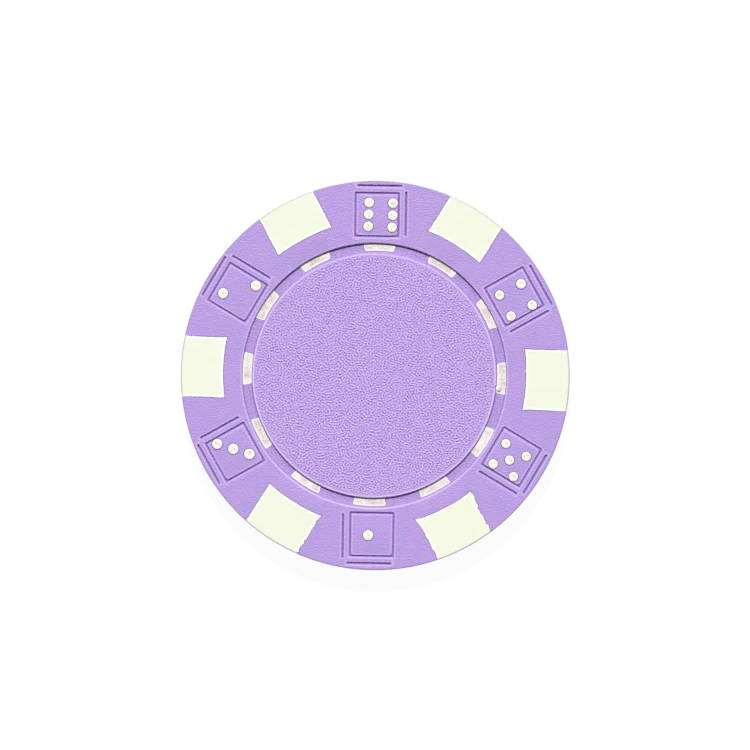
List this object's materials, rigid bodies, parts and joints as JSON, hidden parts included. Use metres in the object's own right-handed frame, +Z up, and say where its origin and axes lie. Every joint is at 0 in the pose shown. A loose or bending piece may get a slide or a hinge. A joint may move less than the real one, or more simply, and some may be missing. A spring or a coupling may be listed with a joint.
{
  "type": "poker chip",
  "caption": "Round weighted poker chip with pale edge spots, dice outlines and pips on both faces, a dashed groove and a grained centre disc; stacks flat and takes a round label.",
  "frame": {"origin": "middle of the lower rim face, on the chip's axis", "axes": "+Z up along the chip's axis through the pictured face, +Y toward the die with six pips, +X toward an edge spot"},
  "size_m": [0.039, 0.039, 0.0033],
  "materials": {
    "slug_steel": "plain blanked sheet steel, sealed inside",
    "cream_plastic": "satin moulded cream-white plastic",
    "lavender_plastic": "satin moulded lavender plastic, with fine leather grain on the centre discs"
  },
  "bodies": {
    "root": {"weight_slug": "slug_steel", "white_core": "cream_plastic", "lavender_body": "lavender_plastic"}
  },
  "joints": []
}
